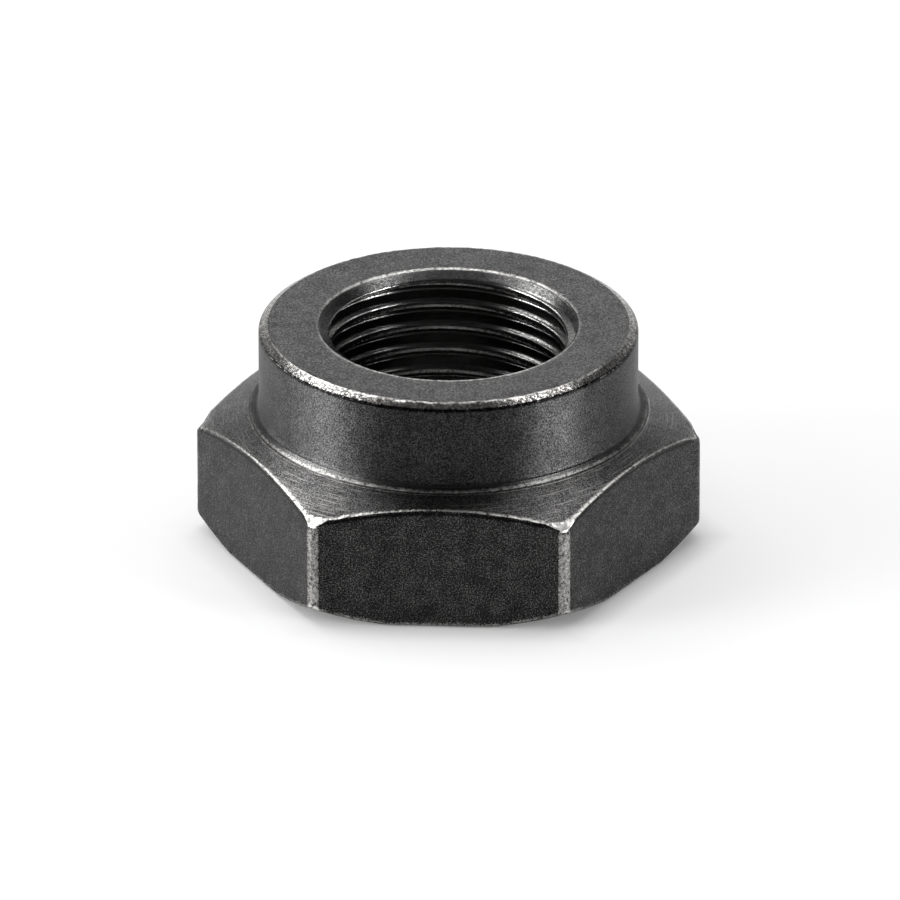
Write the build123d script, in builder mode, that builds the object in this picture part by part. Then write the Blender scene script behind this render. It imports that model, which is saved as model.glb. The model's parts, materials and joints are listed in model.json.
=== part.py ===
from build123d import *

import os
from math import cos, radians, tan

# Adjusting nut: a hexagon nut turned with a round collar on one face and threaded right through.
# The origin is the centre of the bottom bearing face, +Z runs up the bore and out of the collar,
# and two of the six flats face -Y and +Y. Lengths are in millimetres, angles in degrees.

# Hexagon bar that the nut is cut from
across_flats = 27.0
bar_corner_radius = 0.75

# Heights above the bearing face
flange_height = 8.4
overall_height = 14.0

# Bottom of the flange: a bearing face a little wider than the flats, with the corners turned back
bearing_face_overhang = 0.35
bottom_chamfer_angle = 30.0

# Top of the flange: a shallow cone from the collar's foot down to the corners
cone_angle = 26.0

# Collar, its wall set in from the flats
collar_set_in = 1.85
collar_foot_fillet = 0.4
collar_foot_land = 0.1
collar_chamfer_width = 0.55
collar_chamfer_height = 0.35

# Thread M16 x 1.5, drilled to its tapping size, and countersunk just past the thread at both ends
thread_diameter = 16.0
thread_pitch = 1.5
countersink_past_thread = 0.1
countersink_angle = 120.0

# Worked out from the sizes above
flat_distance = across_flats / 2
corner_distance = flat_distance / cos(radians(30))
collar_radius = flat_distance - collar_set_in
land_radius = collar_radius + collar_foot_fillet + collar_foot_land
bearing_face_radius = flat_distance + bearing_face_overhang
bore_radius = (thread_diameter - thread_pitch) / 2
countersink_radius = (thread_diameter + countersink_past_thread) / 2
bottom_chamfer_rise = (corner_distance - bearing_face_radius) * tan(radians(bottom_chamfer_angle))
cone_drop = (corner_distance - land_radius) * tan(radians(cone_angle))

os.makedirs("parts", exist_ok=True)

with BuildPart() as adjusting_nut:
    # A length of hexagon bar, its corners lightly rounded as drawn bar has them
    with BuildSketch() as bar_section:
        RegularPolygon(radius=flat_distance, side_count=6, major_radius=False, rotation=0)
        fillet(bar_section.vertices(), radius=bar_corner_radius)
    extrude(amount=overall_height)

    # Everything that the lathe leaves, as one half section turned about the axis. Where the two
    # cones of the flange run out through the flats they leave each flat its arched edges.
    with BuildSketch(Plane.XZ) as turned_section:
        with BuildLine():
            Polyline(
                (0, 0),
                (bearing_face_radius, 0),
                (corner_distance, bottom_chamfer_rise),
                (corner_distance, flange_height - cone_drop),
                (land_radius, flange_height),
                (collar_radius, flange_height),
                (collar_radius, overall_height - collar_chamfer_height),
                (collar_radius - collar_chamfer_width, overall_height),
                (0, overall_height),
                close=True,
            )
        make_face()
    revolve(axis=Axis.Z, mode=Mode.INTERSECT)

    # Fillet where the collar's wall meets the narrow land at its foot
    foot_edges = adjusting_nut.edges().filter_by_position(Axis.Z, flange_height, flange_height)
    fillet(foot_edges.sort_by(SortBy.LENGTH)[0], radius=collar_foot_fillet)

    # Tapping bore right through, countersunk from the collar's face and from the bearing face
    with Locations(Location((0, 0, overall_height)), Location((0, 0, 0), (180, 0, 0))):
        CounterSinkHole(
            radius=bore_radius,
            counter_sink_radius=countersink_radius,
            counter_sink_angle=countersink_angle,
        )

adjusting_nut.part.label = "adjusting_nut"
export_step(adjusting_nut.part, "parts/adjusting_nut.step")
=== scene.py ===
import json
from collections import namedtuple
from math import cos, pi, radians, sin, tan

import bpy
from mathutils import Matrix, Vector


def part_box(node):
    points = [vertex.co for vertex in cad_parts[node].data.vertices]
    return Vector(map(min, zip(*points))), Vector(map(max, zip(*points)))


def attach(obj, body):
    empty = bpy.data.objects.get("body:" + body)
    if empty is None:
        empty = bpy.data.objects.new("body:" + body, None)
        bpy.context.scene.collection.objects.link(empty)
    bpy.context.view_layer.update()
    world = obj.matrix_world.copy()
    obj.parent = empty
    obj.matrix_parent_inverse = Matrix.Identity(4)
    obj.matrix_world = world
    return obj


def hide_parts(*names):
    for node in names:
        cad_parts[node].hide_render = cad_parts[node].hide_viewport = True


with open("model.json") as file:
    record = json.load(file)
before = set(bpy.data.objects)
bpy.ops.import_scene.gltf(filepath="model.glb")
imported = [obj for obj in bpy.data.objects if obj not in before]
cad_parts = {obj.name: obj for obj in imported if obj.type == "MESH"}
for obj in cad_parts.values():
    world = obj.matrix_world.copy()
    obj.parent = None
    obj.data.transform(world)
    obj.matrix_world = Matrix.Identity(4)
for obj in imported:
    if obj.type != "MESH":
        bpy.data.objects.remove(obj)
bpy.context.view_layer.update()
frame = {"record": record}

# Adjusting nut of blackened steel: one turned section swept once round, with the thread in its bore.
# Sizes are in millimetres, and angles in degrees, until a mesh or a pattern is made from them.
mm = 0.001

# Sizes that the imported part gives
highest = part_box("adjusting_nut")[1]
mounts = {mount["name"]: mount for mount in frame["record"]["mounts"]}
overall_height = highest.z / mm
flat_distance = highest.y / mm
bore_radius = mounts["thread"]["dims"]["r_mm"]
collar_radius = mounts["collar"]["dims"]["r_mm"]

# Flange and collar, as the solid has them
bar_corner_radius = 0.75
bearing_face_overhang = 0.35
bottom_chamfer_slope = tan(radians(30))
flange_height = 8.4
cone_slope = tan(radians(26))
foot_fillet = 0.4
foot_land = 0.1
collar_chamfer_width = 0.55
collar_chamfer_height = 0.35

# Thread M16 x 1.5 in the tapping bore, with 30 degree flanks and a 120 degree countersink at each end.
# The corner that its crest's height is measured at is the one on the X axis.
thread_pitch = 1.5
thread_depth = 0.75
crest_half_width = 0.2235
flank_slope = tan(radians(60))
crest_height_at_corner = 1.0485
countersink_radius = 8.05
countersink_slope = tan(radians(60))

# Lathe work that the solid leaves out. The land at the collar's foot rises towards the wall, and the
# tool left two fine lips with a groove between them, this far out and down from the land's edge.
foot_rise = 0.25
outer_lip_out = 0.22
outer_lip_down = 0.1
groove_out = 0.12
groove_down = 0.085
inner_lip_out = 0.03

# Worked out from the sizes above
bearing_face_radius = flat_distance + bearing_face_overhang
land_radius = collar_radius + foot_fillet + foot_land
corner_centre_distance = (flat_distance - bar_corner_radius) / cos(radians(30))
corner_reach = corner_centre_distance + bar_corner_radius
bottom_crease_height = (corner_reach - bearing_face_radius) * bottom_chamfer_slope
top_crease_height = flange_height - (corner_reach - land_radius) * cone_slope
countersink_depth = (countersink_radius - bore_radius) / countersink_slope


def add(tree, kind, inputs=(), **settings):
    """Adds a node with its settings, and links or fills its inputs, which a dict names or a list counts."""
    node = tree.nodes.new(kind)
    for name, value in settings.items():
        setattr(node, name, value)
    open_inputs = [socket for socket in node.inputs if socket.enabled]
    for key, value in inputs.items() if isinstance(inputs, dict) else enumerate(inputs):
        if isinstance(key, int):
            socket = open_inputs[key]
        else:
            socket = next(each for each in open_inputs if each.name == key)
        if isinstance(value, bpy.types.Node):
            value = next(each for each in value.outputs if each.enabled)
        if isinstance(value, bpy.types.NodeSocket):
            tree.links.new(value, socket)
        elif value is not None:
            socket.default_value = value
    return node


# A corner of the nut's half section. rounding is the radius that wear or the tool has left on it, in
# steps, and rows is how many stretches lead to the next corner. worn says how bare its steel is on the
# way in and on the way out, and below nought how dark it is painted: thick scale, and under the top
# crease a painted shade line. cone and chamfer are the shares that it takes of the flats' shift along the
# cone and the bottom chamfer, flat says that it lies on the bar's flats, and keep_in is how far inside
# them it has to stay. rounded and skin name what the rounding and the stretch after it are like, where
# that is not a faced end, and turn is the share of the rounding where the one becomes the other. fade is
# how far its wear and its painted shade reach.
Corner = namedtuple(
    "Corner", "r z rounding steps rows worn cone chamfer flat keep_in rounded skin fade turn",
    defaults=((0, 0), 0, 0, 0, 0, "", "", 0.2, 0.625),
)

# One row of the mesh, which is one point of the section turned once round
skins = ("scored", "turned", "pitted", "rolled")
row_values = ("r", "z", "worn", "cone", "chamfer", "flat", "keep_in", *skins, "bore", "helix", "flank")
Row = namedtuple("Row", row_values, defaults=[0] * (len(skins) + 3))

# How bare the lower edges of the thread's crests and the rim of the top countersink are, and below
# nought how thick the scale lies on that countersink
crest_worn = 0.6
rim_worn = 0.6
countersink_worn = -0.45

section_corners = [
    # rim of the bottom countersink, edge of the bearing face, and the two creases of the flats
    Corner(countersink_radius, 0, 0.08, 3, 6, worn=(0.8, 0.8), keep_in=1.9),
    Corner(bearing_face_radius, 0, 0.2, 2, 5, worn=(0.5, 0.3), keep_in=0.15),
    Corner(
        corner_reach, bottom_crease_height, 0.13, 4, 15,
        worn=(0.2, 0.4), chamfer=1, flat=1, keep_in=0.08,
    ),
    # Just below the top crease, and on the lower half of its rounding, the flat is painted darker: a
    # painted shade line under the worn edge
    Corner(
        corner_reach, top_crease_height, 0.2, 7, 13,
        worn=(-1, 1.35), cone=1, flat=1, skin="scored", fade=0.3,
    ),
    # the two lips round the collar's foot with the groove between them, and the foot's fillet
    Corner(
        land_radius + outer_lip_out, flange_height - outer_lip_down, 0.05, 2, 1,
        worn=(0.6, 0.6), rounded="scored", skin="scored", fade=0.05,
    ),
    Corner(
        land_radius + groove_out, flange_height - groove_down, 0.04, 2, 1,
        rounded="scored", skin="rolled",
    ),
    Corner(
        land_radius + inner_lip_out, flange_height, 0.07, 3, 1,
        worn=(0.68, 0.68), rounded="rolled", skin="rolled", fade=0.06,
    ),
    Corner(
        collar_radius, flange_height + foot_rise, foot_fillet, 8, 8,
        rounded="rolled", skin="turned", turn=0.375,
    ),
    # collar, its chamfer and the rim of the top countersink
    Corner(
        collar_radius, overall_height - collar_chamfer_height, 0.16, 4, 6,
        worn=(-0.8, -0.7), rounded="turned", skin="pitted",
    ),
    Corner(
        collar_radius - collar_chamfer_width, overall_height, 0.07, 3, 6,
        worn=(0.8, 0.3), rounded="pitted",
    ),
    Corner(countersink_radius, overall_height, 0.09, 3, 9, worn=(0.7, 0.8)),
]


def arc(before, corner, after, radius, steps):
    """Points of the rounding of a corner of the section, from one tangent point to the other."""
    towards_before = (before - corner).normalized()
    towards_after = (after - corner).normalized()
    half_angle = towards_before.angle(towards_after) / 2
    centre = corner + (towards_before + towards_after).normalized() * radius / sin(half_angle)
    reach = radius / tan(half_angle)
    first = corner + towards_before * reach - centre
    last = corner + towards_after * reach - centre
    return [centre + first.slerp(last, step / steps) * radius for step in range(steps + 1)]


def outside_rows():
    """Rows of the section from the rim of the bottom countersink round to the rim of the top one."""
    bottom_cone = Vector((bore_radius, countersink_depth))
    top_cone = Vector((bore_radius, overall_height - countersink_depth))
    places = [bottom_cone] + [Vector((corner.r, corner.z)) for corner in section_corners] + [top_cone]
    arcs = [
        arc(places[index], places[index + 1], places[index + 2], corner.rounding, corner.steps)
        for index, corner in enumerate(section_corners)
    ]
    rows = []
    for index, corner in enumerate(section_corners):
        skin_before = section_corners[index - 1].skin
        kept_in = 0 if corner.flat else corner.keep_in
        turning = int(corner.steps * corner.turn)
        for step, point in enumerate(arcs[index]):
            share = step / corner.steps
            worn = corner.worn[0] * (1 - share) + corner.worn[1] * share
            here = [skin_before] if step == 0 else []
            here += [corner.rounded] if step <= turning else []
            here += [corner.skin] if step >= turning else []
            in_skin = [skin in here for skin in skins]
            shares = (corner.cone, corner.chamfer, corner.flat)
            rows.append(Row(point.x, point.y, worn, *shares, kept_in, *in_skin))
        if index + 1 == len(section_corners):
            break
        following = section_corners[index + 1]
        start = arcs[index][-1]
        end = arcs[index + 1][0]
        for step in range(1, corner.rows):
            share = (1 - cos(pi * step / corner.rows)) / 2
            point = start.lerp(end, share)
            worn = (
                corner.worn[1] * max(0, 1 - (point - start).length / corner.fade)
                + following.worn[0] * max(0, 1 - (point - end).length / following.fade)
            )
            shares = [
                getattr(corner, name) * (1 - share) + getattr(following, name) * share
                for name in ("cone", "chamfer", "flat")
            ]
            between = 0 if corner.flat else kept_in * (1 - share) + following.keep_in * share
            in_skin = [skin == corner.skin for skin in skins]
            rows.append(Row(point.x, point.y, worn, *shares, between, *in_skin))
    return rows


def bore_rows():
    """Rows down the bore: two countersinks, and between them the thread's rows, which climb with it."""
    rows = []

    # The countersinks' rows start below the worn rims, which are corners of the section
    rim = 0.04
    countersink_rows = section_corners[-1].rows
    top_foot = overall_height - countersink_depth
    for step in range(countersink_rows + 1):
        z = overall_height - rim - (countersink_depth - rim) * step / countersink_rows
        worn = max(countersink_worn, rim_worn - step / 2)
        rows.append(Row(bore_radius, z, worn, 0, 0, 0, 0, rolled=1, bore=1))

    # The thread's rows, by their height above and below the middle of a crest. They lie close together
    # where crests and roots turn into the flanks, and the first row below is a crest's worn edge.
    crest_edge = crest_half_width
    root_edge = crest_half_width + thread_depth / flank_slope
    above = (crest_edge - 0.13, crest_edge - 0.05, crest_edge + 0.05, crest_edge + 0.15, root_edge - 0.02)
    below = (0.04 - crest_edge, -0.03 - crest_edge, 0.02 - root_edge)
    in_one_pitch = sorted([*above, *below, thread_pitch / 2])
    flanks = (*above[-2:], *below[-2:])
    crest = crest_height_at_corner - 2 * thread_pitch
    places = []
    while crest < overall_height + thread_pitch:
        for place in in_one_pitch:
            worn = crest_worn if place == below[0] else 0
            places.append((crest + place, worn, place in flanks))
        crest += thread_pitch

    # A row that starts up to a turn below the bottom countersink still climbs out of it
    low = countersink_depth - thread_pitch
    for z, worn, flank in reversed([place for place in places if low < place[0] < top_foot]):
        rows.append(Row(bore_radius, z, worn, 0, 0, 0, 0, bore=1, helix=1, flank=flank))
    for step in range(countersink_rows + 1):
        z = countersink_depth - (countersink_depth - rim) * step / countersink_rows
        rows.append(Row(bore_radius, z, 0, 0, 0, 0, 0, rolled=1, bore=1))
    return rows


def section_object():
    """The closed half section as a ring of edges, with what each of its rows needs as attributes."""
    rows = outside_rows() + bore_rows()
    mesh = bpy.data.meshes.new("half_section")
    places = [(row.r * mm, 0, row.z * mm) for row in rows]
    edges = [(index, (index + 1) % len(rows)) for index in range(len(rows))]
    mesh.from_pydata(places, edges, [])
    for name in Row._fields:
        scale = mm if name in ("r", "z", "keep_in") else 1
        attribute = mesh.attributes.new(name, "FLOAT", "POINT")
        for index, row in enumerate(rows):
            attribute.data[index].value = getattr(row, name) * scale
    finished = bpy.data.objects.new("adjusting_nut_finished", mesh)
    bpy.context.scene.collection.objects.link(finished)
    return finished


# Inputs of the nut's tree, with lengths in metres and angles in radians
nut_sizes = {
    "Columns": 480,
    "Corner Crowding": 0.76,
    "Seam Distance": 0.002 * mm,
    "Flat Distance": flat_distance * mm,
    "Bar Corner Radius": bar_corner_radius * mm,
    "Cone Slope": cone_slope,
    "Bottom Chamfer Slope": bottom_chamfer_slope,
    "Bottom Chamfer Rise": bottom_crease_height * mm,
    "Overall Height": overall_height * mm,
    "Bore Radius": bore_radius * mm,
    "Thread Pitch": thread_pitch * mm,
    "Thread Depth": thread_depth * mm,
    "Crest Half Width": crest_half_width * mm,
    "Flank Slope": flank_slope,
    "Root Rounding": 0.1 * mm,
    "Upper Crest Rounding": 0.3 * mm,
    "Lower Crest Rounding": 0.05 * mm,
    "Crest Height": crest_height_at_corner * mm,
    "Countersink Depth": countersink_depth * mm,
    "Countersink Slope": countersink_slope,
    "Countersink Rounding": 0.03 * mm,
    "Top Crease Height": top_crease_height * mm,
    "Tip Facet Lean": radians(45),
    "Tip Facet Depth": 0.17 * mm,
    "Tip Facet Rounding": 0.03 * mm,
    "Tip Wear": 2.2,
    "Blow Size": 1.2 * mm,
    "Side Facet Share": 1.6,
    "Side Wear Share": 0.42,
    "Strip Wear": 0.42,
    "Strip Fade": radians(0.3),
    "Nick Depth": 0.08 * mm,
    "Nick Size": 0.3 * mm,
    "Pit Depth": 0.017 * mm,
    "Pit Size": 0.22 * mm,
}


def swept_section(tree, given):
    """The half section swept once round, its columns crowded towards the hexagon's corners."""
    line = add(tree, "GeometryNodeCurvePrimitiveLine", [(0, 0, 0), (0, 0, 1)])
    count = add(tree, "ShaderNodeMath", [given["Columns"], 1.0], operation="ADD")
    path = add(tree, "GeometryNodeResampleCurve", {"Curve": line, "Count": count}, mode="COUNT")
    part_of_turn = add(tree, "GeometryNodeSplineParameter")
    even_angle = add(tree, "ShaderNodeMath", [part_of_turn, 2 * pi], operation="MULTIPLY")
    six_times = add(tree, "ShaderNodeMath", [even_angle, 6.0], operation="MULTIPLY")
    wave = add(tree, "ShaderNodeMath", [six_times], operation="SINE")
    sixth = add(tree, "ShaderNodeMath", [wave, 1 / 6], operation="MULTIPLY")
    lag = add(tree, "ShaderNodeMath", [sixth, given["Corner Crowding"]], operation="MULTIPLY")
    crowded = add(tree, "ShaderNodeMath", [even_angle, lag], operation="SUBTRACT")
    path = add(
        tree, "GeometryNodeStoreNamedAttribute", {"Geometry": path, "Name": "angle", "Value": crowded},
        data_type="FLOAT", domain="POINT",
    )
    section = add(tree, "GeometryNodeMeshToCurve", [given["Section"]])
    return add(tree, "GeometryNodeCurveToMesh", {"Curve": path, "Profile Curve": section})


def rounded_hexagon(tree, given, row):
    """How far out the rounded hexagon and its corners are, by the angle from the nearest corner."""
    from_corner = add(tree, "ShaderNodeMath", [row["angle"], pi / 6], operation="PINGPONG")
    from_flat = add(tree, "ShaderNodeMath", [pi / 6, from_corner], operation="SUBTRACT")
    cosine = add(tree, "ShaderNodeMath", [from_flat], operation="COSINE")
    flat_reach = add(tree, "ShaderNodeMath", [given["Flat Distance"], cosine], operation="DIVIDE")
    inner = add(
        tree, "ShaderNodeMath", [given["Flat Distance"], given["Bar Corner Radius"]], operation="SUBTRACT",
    )
    centre = add(tree, "ShaderNodeMath", [inner, cos(pi / 6)], operation="DIVIDE")
    corner_sine = add(tree, "ShaderNodeMath", [from_corner], operation="SINE")
    corner_cosine = add(tree, "ShaderNodeMath", [from_corner], operation="COSINE")
    aside = add(tree, "ShaderNodeMath", [centre, corner_sine], operation="MULTIPLY")
    along = add(tree, "ShaderNodeMath", [centre, corner_cosine], operation="MULTIPLY")
    aside_squared = add(tree, "ShaderNodeMath", [aside, aside], operation="MULTIPLY")
    radius_squared = add(tree, "ShaderNodeMath", [given["Bar Corner Radius"]] * 2, operation="MULTIPLY")
    left_over = add(tree, "ShaderNodeMath", [radius_squared, aside_squared], operation="SUBTRACT")
    further = add(tree, "ShaderNodeMath", [left_over], operation="SQRT")
    round_reach = add(tree, "ShaderNodeMath", [along, further], operation="ADD")
    half_centre = add(tree, "ShaderNodeMath", [centre, 0.5], operation="MULTIPLY")
    tangent_angle = add(tree, "ShaderNodeMath", [half_centre, given["Flat Distance"]], operation="ARCTAN2")
    round_angle = add(tree, "ShaderNodeMath", [pi / 6, tangent_angle], operation="SUBTRACT")
    on_round = add(tree, "ShaderNodeMath", [from_corner, round_angle], operation="LESS_THAN")
    reach = add(
        tree, "ShaderNodeMix", {"Factor": on_round, "A": flat_reach, "B": round_reach}, data_type="FLOAT",
    )
    farthest = add(tree, "ShaderNodeMath", [centre, given["Bar Corner Radius"]], operation="ADD")
    return reach, farthest, from_corner, round_angle


def flange_and_collar(tree, given, row, reach, farthest):
    """Radius and height outside, where the flats move the flange's rows along the cone and the chamfer."""
    shift = add(tree, "ShaderNodeMath", [reach, farthest], operation="SUBTRACT")
    flange_share = add(tree, "ShaderNodeMath", [row["cone"], row["chamfer"]], operation="ADD")
    free_r = add(tree, "ShaderNodeMath", [shift, flange_share, row["r"]], operation="MULTIPLY_ADD")
    limit = add(tree, "ShaderNodeMath", [reach, row["keep_in"]], operation="SUBTRACT")
    outside_r = add(tree, "ShaderNodeMath", [free_r, limit], operation="MINIMUM")
    cut_back = add(tree, "ShaderNodeMath", [free_r, outside_r], operation="SUBTRACT")
    cone_fall = add(tree, "ShaderNodeMath", [shift, given["Cone Slope"]], operation="MULTIPLY")
    cone_move = add(tree, "ShaderNodeMath", [cone_fall, row["cone"]], operation="MULTIPLY")
    raised = add(tree, "ShaderNodeMath", [row["z"], cone_move], operation="SUBTRACT")
    chamfer_fall = add(tree, "ShaderNodeMath", [shift, given["Bottom Chamfer Slope"]], operation="MULTIPLY")
    least = add(tree, "ShaderNodeMath", [0.0, given["Bottom Chamfer Rise"]], operation="SUBTRACT")
    chamfer_move = add(tree, "ShaderNodeMath", [chamfer_fall, least], operation="MAXIMUM")
    lowered = add(tree, "ShaderNodeMath", [chamfer_move, row["chamfer"], raised], operation="MULTIPLY_ADD")
    cut_fall = add(tree, "ShaderNodeMath", [cut_back, given["Bottom Chamfer Slope"]], operation="MULTIPLY")
    lowered = add(tree, "ShaderNodeMath", [lowered, cut_fall], operation="SUBTRACT")
    outside_z = add(tree, "ShaderNodeMath", [lowered, 0.0], operation="MAXIMUM")
    return outside_r, outside_z


def threaded_bore(tree, given, row, outside_z):
    """Radius inside, with the thread and the countersinks, and the height of every row."""
    # The thread's rows climb with it, and stop where the countersinks begin
    turns = add(tree, "ShaderNodeMath", [row["angle"], 2 * pi], operation="DIVIDE")
    climb = add(tree, "ShaderNodeMath", [turns, given["Thread Pitch"]], operation="MULTIPLY")
    climbed = add(tree, "ShaderNodeMath", [climb, row["z"]], operation="ADD")
    top_foot = add(
        tree, "ShaderNodeMath", [given["Overall Height"], given["Countersink Depth"]], operation="SUBTRACT",
    )
    threaded = add(tree, "ShaderNodeClamp", [climbed, given["Countersink Depth"], top_foot])
    height = add(
        tree, "ShaderNodeMix", {"Factor": row["helix"], "A": outside_z, "B": threaded}, data_type="FLOAT",
    )

    # The groove's depth follows from the height above the thread's nearest crest
    unclimbed = add(tree, "ShaderNodeMath", [height, climb], operation="SUBTRACT")
    above_crest = add(tree, "ShaderNodeMath", [unclimbed, given["Crest Height"]], operation="SUBTRACT")
    half_pitch = add(tree, "ShaderNodeMath", [given["Thread Pitch"], 0.5], operation="MULTIPLY")
    off_crest = add(tree, "ShaderNodeMath", [above_crest, half_pitch], operation="PINGPONG")
    past_crest = add(tree, "ShaderNodeMath", [off_crest, given["Crest Half Width"]], operation="SUBTRACT")
    flank = add(
        tree, "ShaderNodeMath", [past_crest, given["Flank Slope"], given["Bore Radius"]],
        operation="MULTIPLY_ADD",
    )
    root = add(tree, "ShaderNodeMath", [given["Bore Radius"], given["Thread Depth"]], operation="ADD")
    groove = add(tree, "ShaderNodeMath", [flank, root, given["Root Rounding"]], operation="SMOOTH_MIN")

    # The upper side of a crest is rounded more than its lower edge
    half_down = add(tree, "ShaderNodeMath", [half_pitch, -1.0], operation="MULTIPLY")
    side_of_crest = add(tree, "ShaderNodeMath", [above_crest, half_pitch, half_down], operation="WRAP")
    rounding = add(tree, "ShaderNodeMapRange", [
        side_of_crest, 0.0, 0.01 * mm, given["Lower Crest Rounding"], given["Upper Crest Rounding"],
    ])
    thread = add(tree, "ShaderNodeMath", [groove, given["Bore Radius"], rounding], operation="SMOOTH_MAX")

    above_foot = add(tree, "ShaderNodeMath", [height, top_foot], operation="SUBTRACT")
    below_foot = add(tree, "ShaderNodeMath", [given["Countersink Depth"], height], operation="SUBTRACT")
    into_countersink = add(tree, "ShaderNodeMath", [above_foot, below_foot], operation="MAXIMUM")
    countersink = add(
        tree, "ShaderNodeMath", [into_countersink, given["Countersink Slope"], given["Bore Radius"]],
        operation="MULTIPLY_ADD",
    )
    inside_r = add(
        tree, "ShaderNodeMath", [thread, countersink, given["Countersink Rounding"]],
        operation="SMOOTH_MAX",
    )
    return inside_r, height


def knocked_tips(tree, given, row, farthest):
    """The tops of the hexagon's corners knocked back to rough leaning facets, deepest at the two sides."""
    here = add(tree, "GeometryNodeInputPosition")
    level = add(tree, "ShaderNodeVectorMath", [here, (1, 1, 0)], operation="MULTIPLY")
    outward = add(tree, "ShaderNodeVectorMath", [level], operation="NORMALIZE")
    distance = add(tree, "ShaderNodeVectorMath", [level], operation="LENGTH").outputs["Value"]
    lean_sine = add(tree, "ShaderNodeMath", [given["Tip Facet Lean"]], operation="SINE")
    lean_cosine = add(tree, "ShaderNodeMath", [given["Tip Facet Lean"]], operation="COSINE")
    beyond = add(tree, "ShaderNodeMath", [distance, farthest], operation="SUBTRACT")
    above = add(tree, "ShaderNodeMath", [
        add(tree, "ShaderNodeSeparateXYZ", [here]).outputs["Z"], given["Top Crease Height"],
    ], operation="SUBTRACT")
    sideways = add(tree, "ShaderNodeMath", [beyond, lean_cosine], operation="MULTIPLY")
    past_tip = add(tree, "ShaderNodeMath", [above, lean_sine, sideways], operation="MULTIPLY_ADD")
    blow_scale = add(tree, "ShaderNodeMath", [1.0, given["Blow Size"]], operation="DIVIDE")
    blows = add(tree, "ShaderNodeTexNoise", {"Scale": blow_scale, "Detail": 3.0})
    blow_depth = add(tree, "ShaderNodeMapRange", [blows, 0.3, 0.7, 0.7, 1.3])
    to_front = add(tree, "ShaderNodeMath", [
        add(tree, "ShaderNodeSeparateXYZ", [outward]).outputs["Y"],
    ], operation="ABSOLUTE")
    deeper_at_sides = add(tree, "ShaderNodeMapRange", [to_front, 0.0, 0.8, given["Side Facet Share"], 1.0])
    blow_depth = add(tree, "ShaderNodeMath", [blow_depth, deeper_at_sides], operation="MULTIPLY")
    facet_depth = add(tree, "ShaderNodeMath", [blow_depth, given["Tip Facet Depth"]], operation="MULTIPLY")
    past_facet = add(tree, "ShaderNodeMath", [past_tip, facet_depth], operation="ADD")
    rounded = add(
        tree, "ShaderNodeMath", [past_facet, 0.0, given["Tip Facet Rounding"]], operation="SMOOTH_MAX",
    )
    on_flange = add(tree, "ShaderNodeMath", [row["cone"], row["flat"]], operation="ADD")
    on_flange = add(tree, "ShaderNodeMath", [on_flange, 0.01], operation="GREATER_THAN")
    knocked = add(tree, "ShaderNodeMath", [rounded, on_flange], operation="MULTIPLY")
    facet_way = add(
        tree, "ShaderNodeVectorMath", {"Vector": outward, "Scale": lean_cosine}, operation="SCALE",
    )
    upright = add(tree, "ShaderNodeCombineXYZ", [0.0, 0.0, lean_sine])
    facet_way = add(tree, "ShaderNodeVectorMath", [facet_way, upright], operation="ADD")
    back = add(tree, "ShaderNodeMath", [knocked, -1.0], operation="MULTIPLY")
    knock = add(tree, "ShaderNodeVectorMath", {"Vector": facet_way, "Scale": back}, operation="SCALE")
    return knock, knocked, to_front


def bare_edges(tree, given, row, from_corner, round_angle, knocked, to_front):
    """How bare the creases are by their rows, the upright corners by their angle, and the knocked tips."""
    strip_edge = add(tree, "ShaderNodeMath", [round_angle, given["Strip Fade"]], operation="ADD")
    on_strip = add(tree, "ShaderNodeMapRange", [
        from_corner, round_angle, strip_edge, given["Strip Wear"], 0.0,
    ])
    all_flat = add(tree, "ShaderNodeMath", [row["flat"], 0.99], operation="GREATER_THAN")
    strip_wear = add(tree, "ShaderNodeMath", [on_strip, all_flat], operation="MULTIPLY")
    wear = add(tree, "ShaderNodeMath", [strip_wear, row["worn"]], operation="ADD")
    less_at_sides = add(tree, "ShaderNodeMapRange", [to_front, 0.2, 0.85, given["Side Wear Share"], 1.0])
    less_worn = add(tree, "ShaderNodeMath", [wear, less_at_sides], operation="MULTIPLY")

    # The lesser of the two leaves the thick scale and the painted shade, which are below nought, as dark at
    # the sides
    wear = add(tree, "ShaderNodeMath", [wear, less_worn], operation="MINIMUM")
    barer_in_front = add(tree, "ShaderNodeMapRange", [to_front, 0.3, 0.7, 0.0, 1.0])
    on_facet = add(tree, "ShaderNodeMapRange", [knocked, 0.01 * mm, 0.04 * mm, 0.0, barer_in_front])
    return add(
        tree, "ShaderNodeMix", {"Factor": on_facet, "A": wear, "B": given["Tip Wear"]}, data_type="FLOAT",
    )


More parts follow.
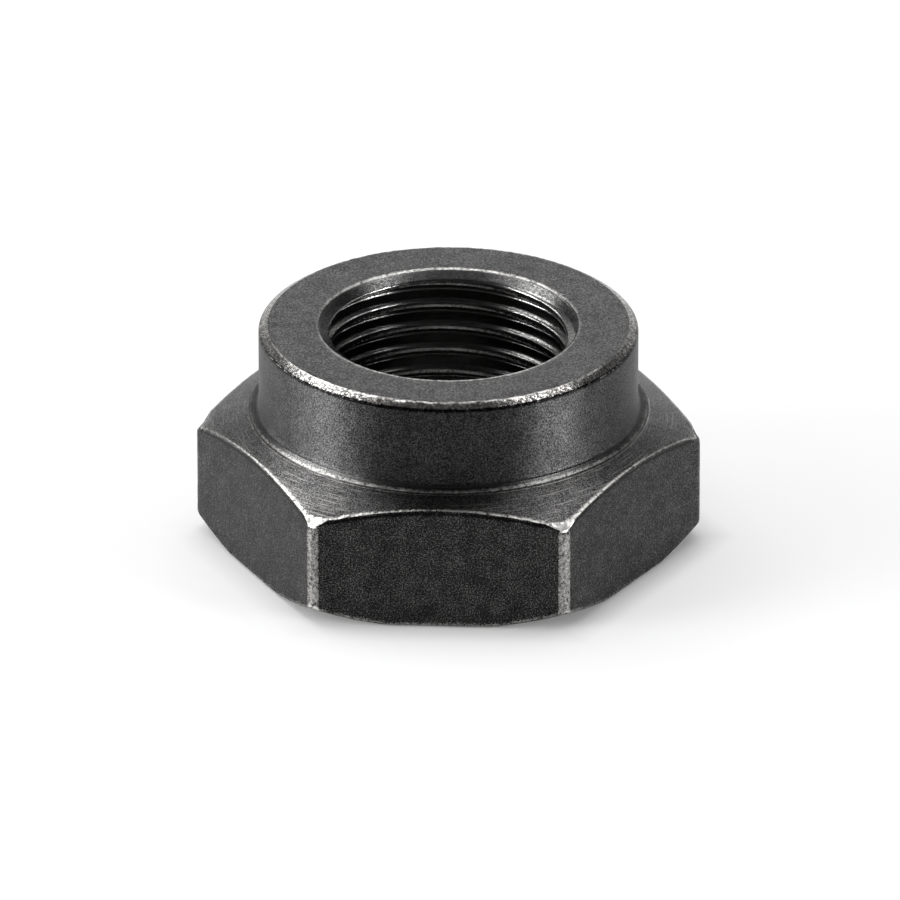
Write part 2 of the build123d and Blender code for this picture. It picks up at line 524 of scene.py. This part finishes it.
def nicks_and_pits(tree, given, row):
    """Nicks along the worn edges and pits in the collar's chamfer, cut inwards along the normal."""
    nick_scale = add(tree, "ShaderNodeMath", [1.0, given["Nick Size"]], operation="DIVIDE")
    nicks = add(tree, "ShaderNodeTexNoise", {"Scale": nick_scale, "Detail": 2.0, "Roughness": 0.6})
    kept_wear = add(tree, "GeometryNodeInputNamedAttribute", {"Name": "wear_and_painted_shade"}, data_type="FLOAT")
    bare_wear = add(tree, "ShaderNodeClamp", [kept_wear, 0.0, 0.8])
    off_tips = add(tree, "ShaderNodeMapRange", [kept_wear, 1.6, 2.0, bare_wear, 0.1])
    steady = add(tree, "ShaderNodeMath", [1.0, row["rolled"]], operation="SUBTRACT")
    off_foot = add(tree, "ShaderNodeMath", [off_tips, steady], operation="MULTIPLY")
    nicked = add(tree, "ShaderNodeMapRange", [nicks, 0.42, 0.7, 0.0, off_foot])
    nick_depth = add(tree, "ShaderNodeMath", [nicked, given["Nick Depth"]], operation="MULTIPLY")
    pit_scale = add(tree, "ShaderNodeMath", [1.0, given["Pit Size"]], operation="DIVIDE")
    pits = add(tree, "ShaderNodeTexNoise", {"Scale": pit_scale, "Detail": 1.0})
    pitted = add(tree, "ShaderNodeMapRange", [pits, 0.45, 0.75, 0.0, row["pitted"]])
    depth = add(tree, "ShaderNodeMath", [pitted, given["Pit Depth"], nick_depth], operation="MULTIPLY_ADD")
    inwards = add(tree, "ShaderNodeMath", [depth, -1.0], operation="MULTIPLY")
    normal = add(tree, "GeometryNodeInputNormal")
    return add(tree, "ShaderNodeVectorMath", {"Vector": normal, "Scale": inwards}, operation="SCALE")


def nut_tree(materials):
    """Turns a half section once round as a nut: a rounded hexagon outside, and a thread inside."""
    tree = bpy.data.node_groups.new("turned_nut", "GeometryNodeTree")
    tree.interface.new_socket("Section", in_out="INPUT", socket_type="NodeSocketGeometry")
    for name, value in nut_sizes.items():
        kind = "NodeSocketInt" if isinstance(value, int) else "NodeSocketFloat"
        tree.interface.new_socket(name, in_out="INPUT", socket_type=kind)
    tree.interface.new_socket("Nut", in_out="OUTPUT", socket_type="NodeSocketGeometry")
    given = add(tree, "NodeGroupInput").outputs
    row = {
        name: add(tree, "GeometryNodeInputNamedAttribute", {"Name": name}, data_type="FLOAT")
        for name in ("angle", *Row._fields)
    }

    swept = swept_section(tree, given)
    reach, farthest, from_corner, round_angle = rounded_hexagon(tree, given, row)
    outside_r, outside_z = flange_and_collar(tree, given, row, reach, farthest)
    inside_r, height = threaded_bore(tree, given, row, outside_z)
    radius = add(
        tree, "ShaderNodeMix", {"Factor": row["bore"], "A": outside_r, "B": inside_r}, data_type="FLOAT",
    )
    sine = add(tree, "ShaderNodeMath", [row["angle"]], operation="SINE")
    cosine = add(tree, "ShaderNodeMath", [row["angle"]], operation="COSINE")
    x = add(tree, "ShaderNodeMath", [radius, cosine], operation="MULTIPLY")
    y = add(tree, "ShaderNodeMath", [radius, sine], operation="MULTIPLY")
    place = add(tree, "ShaderNodeCombineXYZ", [x, y, height])
    turned = add(tree, "GeometryNodeSetPosition", {"Geometry": swept, "Position": place})

    knock, knocked, to_front = knocked_tips(tree, given, row, farthest)
    wear = bare_edges(tree, given, row, from_corner, round_angle, knocked, to_front)
    turned = add(
        tree, "GeometryNodeStoreNamedAttribute", {"Geometry": turned, "Name": "wear_and_painted_shade", "Value": wear},
        data_type="FLOAT", domain="POINT",
    )
    turned = add(tree, "GeometryNodeSetPosition", {"Geometry": turned, "Offset": knock})
    closed = add(
        tree, "GeometryNodeMergeByDistance", {"Geometry": turned, "Distance": given["Seam Distance"]},
    )
    closed = add(tree, "GeometryNodeFlipFaces", [closed])
    cuts = nicks_and_pits(tree, given, row)
    worn = add(tree, "GeometryNodeSetPosition", {"Geometry": closed, "Offset": cuts})

    # Only the thread's flanks are shaded flat, so that its edges stay crisp
    flank = add(tree, "ShaderNodeMath", [row["flank"], 0.99], operation="GREATER_THAN")
    smooth = add(tree, "GeometryNodeSetShadeSmooth", [worn])
    smooth = add(tree, "GeometryNodeSetShadeSmooth", [smooth, flank, False])

    # The first skin goes on everything, and the others on the rows that are named for them
    nut = add(tree, "GeometryNodeRealizeInstances", [smooth])
    nut = add(tree, "GeometryNodeSetMaterial", {"Geometry": nut, "Material": materials[0]})
    for finish, material in zip(("flat", "bore", *skins), materials[1:]):
        chosen = add(tree, "ShaderNodeMath", [row[finish], 0.99], operation="GREATER_THAN")
        nut = add(tree, "GeometryNodeSetMaterial", {
            "Geometry": nut, "Selection": chosen, "Material": material,
        })
    add(tree, "NodeGroupOutput", [nut])
    return tree


def make_nut(materials):
    """The nut as one closed mesh, with the wear and its painted shade kept as its only attribute."""
    nut = section_object()
    modifier = nut.modifiers.new("turned_nut", "NODES")
    modifier.node_group = nut_tree(materials)
    for socket in modifier.node_group.interface.items_tree:
        if socket.in_out == "INPUT" and socket.name in nut_sizes:
            modifier[socket.identifier] = nut_sizes[socket.name]
    graph = bpy.context.evaluated_depsgraph_get()
    mesh = bpy.data.meshes.new_from_object(nut.evaluated_get(graph), depsgraph=graph)
    for name in ("angle", *Row._fields):
        mesh.attributes.remove(mesh.attributes[name])
    nut.modifiers.remove(modifier)
    nut.data = mesh
    mesh.name = "adjusting_nut_finished"
    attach(nut, "root")
    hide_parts("adjusting_nut")


def linear(colour):
    """An sRGB hex colour as linear red, green, blue and alpha."""
    parts = [int(colour[place:place + 2], 16) / 255 for place in (1, 3, 5)]
    return (*[part / 12.92 if part <= 0.04045 else ((part + 0.055) / 1.055) ** 2.4 for part in parts], 1)


# What the oxide skins share, with sizes in millimetres. The real crinkle of black oxide is about
# 0.02 mm across, and a fine cut leaves rings 0.05 mm apart. Both are too fine to show in the render,
# where a pixel is 0.06 mm, so the grain and the rings are drawn as coarse as they need to show.
grain_width = 0.09
mottle_width = 1.2
chip_width = 0.22
chip_depth = 0.018
bare_roughness = 0.4
bare_steel = "#d2d0cd"
# Near black, for thick scale and for the painted shade line under the top crease
thick_scale_and_painted_shade = "#0c0c0c"
light_scratch = "#8f8d8b"

# How much wear, grain and mottle count in where the skin gives way to thick scale and painted shade, or to
# bare steel
wear_weight = 1.6
grain_weight = 1.4
mottle_weight = 0.6


def lathe_marks(tree, mark_width, mark_length):
    """Fine rings that a turning tool leaves, as noise drawn out round the nut's axis."""
    place = add(tree, "ShaderNodeTexCoord").outputs["Object"]
    parts = add(tree, "ShaderNodeSeparateXYZ", [place])
    level = add(tree, "ShaderNodeVectorMath", [place, (1, 1, 0)], operation="MULTIPLY")
    radius = add(tree, "ShaderNodeVectorMath", [level], operation="LENGTH").outputs["Value"]

    # The second half of the turn mirrors the first, so that the marks have no seam where they meet
    angle = add(tree, "ShaderNodeMath", [parts.outputs["Y"], parts.outputs["X"]], operation="ARCTAN2")
    angle = add(tree, "ShaderNodeMath", [angle], operation="ABSOLUTE")
    across = add(tree, "ShaderNodeMath", [radius, 1 / (mark_width * mm)], operation="MULTIPLY")
    up = add(tree, "ShaderNodeMath", [parts.outputs["Z"], 1 / (mark_width * mm)], operation="MULTIPLY")
    round_axis = add(tree, "ShaderNodeMath", [angle, collar_radius / mark_length], operation="MULTIPLY")
    drawn_out = add(tree, "ShaderNodeCombineXYZ", [across, round_axis, up])
    return add(tree, "ShaderNodeTexNoise", {
        "Vector": drawn_out, "Scale": 1.0, "Detail": 2.0, "Roughness": 0.6,
    })


def blackened_steel(
    name, dark, fleck, roughness, anisotropy=0.0, grain_size=grain_width, grain_depth=0.006,
    marks=None, mark_depth=0.0, scratches=0.0, cover=0.53, rim="#ffffff",
):
    """Black oxide on steel: a dark skin with light flecks, rubbed through to bare metal where worn, and
    near
    black where the wear is below nought: thick scale, and a painted shade line under the top crease.

    cover is how much of the grain stays dark, marks gives the width and the length of the tool's
    marks, scratches is how plain the lightest of them are, and rim is the tint at a grazing view.
    """
    material = bpy.data.materials.new(name)
    material.use_nodes = True
    tree = material.node_tree
    tree.nodes.clear()
    place = add(tree, "ShaderNodeTexCoord").outputs["Object"]
    grain = add(tree, "ShaderNodeTexNoise", {
        "Vector": place, "Scale": 1 / (grain_size * mm), "Detail": 2.0, "Roughness": 0.8, "Distortion": 0.3,
    })
    mottle = add(tree, "ShaderNodeTexNoise", {
        "Vector": place, "Scale": 1 / (mottle_width * mm), "Detail": 4.0, "Roughness": 0.7,
    })
    mixed = add(tree, "ShaderNodeMath", [mottle, 0.2, grain], operation="MULTIPLY_ADD")
    light = add(tree, "ShaderNodeMapRange", [mixed, cover, 0.83, 0.0, 1.0])
    bump = add(tree, "ShaderNodeBump", {"Height": grain, "Distance": grain_depth * mm, "Strength": 1.0})
    if marks:
        rings = lathe_marks(tree, *marks)
        bump = add(tree, "ShaderNodeBump", {
            "Height": rings, "Distance": mark_depth * mm, "Strength": 1.0, "Normal": bump,
        })
    colour = add(tree, "ShaderNodeMix", {
        "Factor": light, "A": linear(dark), "B": linear(fleck),
    }, data_type="RGBA")
    if scratches:
        scratch = add(tree, "ShaderNodeMapRange", [rings, 0.58, 0.68, 0.0, scratches])
        colour = add(tree, "ShaderNodeMix", {
            "Factor": scratch, "A": colour, "B": linear(light_scratch),
        }, data_type="RGBA")

    # Wear breaks into chips on the edges and is whole on the knocked tips, and grain and mottle fray it
    wear = add(tree, "ShaderNodeAttribute", attribute_name="wear_and_painted_shade").outputs["Fac"]
    nicks = add(tree, "ShaderNodeTexNoise", {
        "Vector": place, "Scale": 1 / (chip_width * mm), "Detail": 2.0,
    })
    more_on_edges = add(tree, "ShaderNodeMapRange", [wear, 0.2, 1.0, 1.0, 5.0])
    less_on_tips = add(tree, "ShaderNodeMapRange", [wear, 1.7, 2.0, more_on_edges, 0.5])
    chips = add(tree, "ShaderNodeMath", [nicks, 0.5], operation="SUBTRACT")
    chips = add(tree, "ShaderNodeMath", [chips, less_on_tips, 1.0], operation="MULTIPLY_ADD")
    chipped_wear = add(tree, "ShaderNodeMath", [wear, chips], operation="MULTIPLY")
    patchy = add(tree, "ShaderNodeMath", [chipped_wear, wear_weight], operation="MULTIPLY")
    patchy = add(tree, "ShaderNodeMath", [grain, grain_weight, patchy], operation="MULTIPLY_ADD")
    patchy = add(tree, "ShaderNodeMath", [mottle, mottle_weight, patchy], operation="MULTIPLY_ADD")
    # Below nought the wear paints the skin near black: thick scale, and a painted shade line under the top
    # crease
    scale = add(tree, "ShaderNodeMapRange", [patchy, 0.4, -0.2, 0.0, 1.0])
    colour = add(tree, "ShaderNodeMix", {
        "Factor": scale, "A": colour, "B": linear(thick_scale_and_painted_shade),
    }, data_type="RGBA")
    bare = add(tree, "ShaderNodeMapRange", [patchy, 1.3, 2.7, 0.0, 1.0])
    colour = add(tree, "ShaderNodeMix", {
        "Factor": bare, "A": colour, "B": linear(bare_steel),
    }, data_type="RGBA")
    rough = add(tree, "ShaderNodeMapRange", [grain, 0.3, 0.7, roughness + 0.05, roughness - 0.05])
    rough = add(tree, "ShaderNodeMix", {
        "Factor": bare, "A": rough, "B": bare_roughness,
    }, data_type="FLOAT")
    nick_depth = add(tree, "ShaderNodeMapRange", [wear, 0.3, 1.0, 0.0, chip_depth * mm])
    nick_depth = add(tree, "ShaderNodeMath", [nick_depth, less_on_tips], operation="MULTIPLY")
    bump = add(tree, "ShaderNodeBump", {
        "Height": nicks, "Distance": nick_depth, "Strength": 1.0, "Normal": bump,
    })

    # Highlights on turned faces are drawn out along the axis, because the marks run round it
    tangent = add(tree, "ShaderNodeVectorMath", [(0, 0, 1), place], operation="CROSS_PRODUCT")
    shader = add(tree, "ShaderNodeBsdfPrincipled", {
        "Base Color": colour, "Metallic": 1.0, "Roughness": rough, "Anisotropic": anisotropy,
        "Anisotropic Rotation": 0.25, "Specular Tint": linear(rim), "Normal": bump, "Tangent": tangent,
    })
    add(tree, "ShaderNodeOutputMaterial", {"Surface": shader})
    return material


def faced_end():
    """Faced square: an even skin with a fine crinkled grain, grey where it catches the light."""
    return blackened_steel("black_oxide_on_faced_end", "#232323", "#7d7c7c", 0.45)


def turned_wall():
    """Finely turned: rings too fine to see draw the highlights out up and down the wall."""
    return blackened_steel(
        "black_oxide_on_turned_wall", "#202020", "#646464", 0.5,
        anisotropy=0.85, grain_depth=0.0095, marks=(0.08, 1.5), mark_depth=0.003,
    )


def drawn_bar():
    """The bar's own drawn flats: a dull skin, crinkled, with thin light flecks."""
    return blackened_steel("black_oxide_on_drawn_bar", "#161616", "#6c6c6b", 0.42, cover=0.59)


def scored_cone():
    """Roughly turned: scored rings and light scratches round the cone."""
    return blackened_steel(
        "black_oxide_on_scored_cone", "#262626", "#807f7f", 0.42,
        anisotropy=0.7, grain_depth=0.007, marks=(0.09, 2.6), mark_depth=0.005, scratches=0.6,
    )


def pitted_chamfer():
    """A chamfer that has been knocked about: the skin is burnished, and glints between its pits."""
    return blackened_steel(
        "black_oxide_on_pitted_chamfer", "#4e4d4c", "#cfccc8", 0.24, grain_size=0.16,
    )


def rolled_foot():
    """Collar's foot and countersinks, rolled smooth by the tool: black, with a hard bright glare."""
    return blackened_steel(
        "black_oxide_on_rolled_foot", "#484848", "#7c7c7b", 0.25,
        grain_depth=0.003, marks=(0.06, 4.0), mark_depth=0.002, rim="#b0b0b0",
    )


def tapped_thread():
    """Cut by a tap: smoother and glossier than the outside, with marks that run with the thread."""
    return blackened_steel(
        "black_oxide_in_tapped_thread", "#4c4c4b", "#a4a4a3", 0.2,
        grain_depth=0.003, marks=(0.08, 3.0), mark_depth=0.004,
    )


def make_floor():
    """A plain pale floor that keeps the nut's shadow and has a painted contact shadow: it glows whiter a
    little way out from the nut.
    """
    half_width = 1.5

    # It lies just clear of the bearing face, because two faces in one place would show streaks
    z = -0.12 * mm
    corners = [(-1, -1), (1, -1), (1, 1), (-1, 1)]
    mesh = bpy.data.meshes.new("floor")
    mesh.from_pydata([(x * half_width, y * half_width, z) for x, y in corners], [], [(0, 1, 2, 3)])
    floor = bpy.data.objects.new("floor", mesh)
    bpy.context.scene.collection.objects.link(floor)

    # Paper: white and without gloss, so that it shows nothing but the shadow
    material = bpy.data.materials.new("matt_white_paper")
    material.use_nodes = True
    tree = material.node_tree
    tree.nodes.clear()
    rays = add(tree, "ShaderNodeLightPath").outputs
    seen = add(tree, "ShaderNodeMath", [rays["Is Camera Ray"], rays["Is Glossy Ray"]], operation="MAXIMUM")
    place = add(tree, "ShaderNodeTexCoord").outputs["Object"]

    # The white glow grows from nought at the hexagon's outline to its full share this far outside it, which
    # paints a contact shadow round the nut
    whitest_share = 0.54
    whitest_at = flat_distance + 2
    widths = []
    for turn in (0, 60, 120):
        flats_way = (sin(radians(turn)), cos(radians(turn)), 0)
        along = add(tree, "ShaderNodeVectorMath", [place, flats_way], operation="DOT_PRODUCT")
        widths.append(add(tree, "ShaderNodeMath", [along.outputs["Value"]], operation="ABSOLUTE"))
    distance = add(tree, "ShaderNodeMath", [widths[0], widths[1]], operation="MAXIMUM")
    distance = add(tree, "ShaderNodeMath", [distance, widths[2]], operation="MAXIMUM")
    glow_outside_painted_shade = add(tree, "ShaderNodeMapRange", [
        distance, flat_distance * mm, whitest_at * mm, 0.0, whitest_share,
    ])
    glow = add(tree, "ShaderNodeMath", [seen, glow_outside_painted_shade], operation="MULTIPLY")
    paper = add(tree, "ShaderNodeBsdfPrincipled", {"Base Color": linear("#ebebeb"), "Roughness": 0.9})
    white = add(tree, "ShaderNodeEmission", {"Color": linear("#ffffff"), "Strength": 1.0})
    shader = add(tree, "ShaderNodeMixShader", [glow, paper, white])
    add(tree, "ShaderNodeOutputMaterial", {"Surface": shader})
    mesh.materials.append(material)


def direction(azimuth, elevation):
    """The way out from the nut to a place that is azimuth degrees round from the front."""
    turn, rise = radians(azimuth), radians(elevation)
    return Vector((sin(turn) * cos(rise), -cos(turn) * cos(rise), sin(rise)))


# Each lamp's name, its azimuth and elevation, its distance, width and height in metres, and its watts.
# The low pair draws the two bright bands on the collar's wall, the front pair lights the side flats,
# and those above and behind show in the faced end, the cone, the chamfer and the collar's foot.
softboxes = (
    ("left_low", -73, 8, 0.5, 0.24, 0.14, 3.85),
    ("left_side", -108, 12, 0.5, 0.25, 0.18, 0.8),
    ("left_back", -136, 49, 0.5, 0.18, 0.1, 0.27),
    ("right_low", 70, 8, 0.5, 0.2, 0.14, 3.05),
    ("right_side", 104, 12, 0.5, 0.2, 0.18, 0.25),
    ("back", 180, 27, 0.7, 0.4, 0.2, 0.37),
    ("left_front", -72, 36, 0.5, 0.2, 0.2, 0.4),
    ("right_front", 72, 36, 0.5, 0.15, 0.15, 0.1),
    ("right_above", 118, 62, 0.5, 0.1, 0.1, 0.19),
    ("left_above", -112, 53, 0.6, 0.24, 0.24, 0.85),
    ("back_above", 180, 66, 0.7, 0.5, 0.22, 1.7),
)


def softbox(name, azimuth, elevation, distance, width, height, power):
    """An area lamp that looks at the nut."""
    lamp = bpy.data.lights.new(name, "AREA")
    lamp.shape = "RECTANGLE"
    lamp.size = width
    lamp.size_y = height
    lamp.energy = power
    box = bpy.data.objects.new(name, lamp)
    way = direction(azimuth, elevation)
    box.location = way * distance
    box.rotation_euler = way.to_track_quat("Z", "Y").to_euler()
    box.visible_camera = False
    bpy.context.scene.collection.objects.link(box)


def make_camera():
    """The photograph's view: a long lens, a little to the right of square on, looking down."""
    azimuth, elevation, distance = 2.591, 25.691, 1.2318
    aside = 0.0952 * mm
    raised = 4.884 * mm
    lens = bpy.data.cameras.new("camera")
    lens.lens = 800
    lens.sensor_width = 36
    camera = bpy.data.objects.new("camera", lens)
    back = direction(azimuth, elevation)
    rotation = (-back).to_track_quat("-Z", "Y")
    right = rotation @ Vector((1, 0, 0))
    up = rotation @ Vector((0, 1, 0))
    camera.location = back * distance + right * aside + up * raised
    camera.rotation_euler = rotation.to_euler()
    bpy.context.scene.collection.objects.link(camera)
    bpy.context.scene.camera = camera


def make_world():
    """A grey studio, darker overhead and towards the camera, that looks white behind the nut."""
    world = bpy.data.worlds.new("studio")
    bpy.context.scene.world = world
    world.use_nodes = True
    tree = world.node_tree
    tree.nodes.clear()
    seen = add(tree, "ShaderNodeLightPath").outputs["Is Camera Ray"]
    way = add(tree, "ShaderNodeTexCoord").outputs["Generated"]
    parts = add(tree, "ShaderNodeSeparateXYZ", [way])
    overhead = add(tree, "ShaderNodeMapRange", [parts.outputs["Z"], 0.05, 0.6, 1.14, 0.06])
    front = add(tree, "ShaderNodeMapRange", [parts.outputs["Y"], -0.7, -0.2, 0.2, 1.0])
    grey = add(tree, "ShaderNodeMath", [overhead, front], operation="MULTIPLY")
    grey = add(tree, "ShaderNodeMix", {
        "Factor": seen, "A": grey, "B": linear("#ffffff"),
    }, data_type="RGBA")
    background = add(tree, "ShaderNodeBackground", {"Color": grey})
    add(tree, "ShaderNodeOutputWorld", {"Surface": background})


make_nut([
    faced_end(), drawn_bar(), tapped_thread(), scored_cone(), turned_wall(), pitted_chamfer(),
    rolled_foot(),
])
make_floor()
for lamp in softboxes:
    softbox(*lamp)
make_world()
make_camera()
bpy.context.scene.view_settings.view_transform = "Standard"
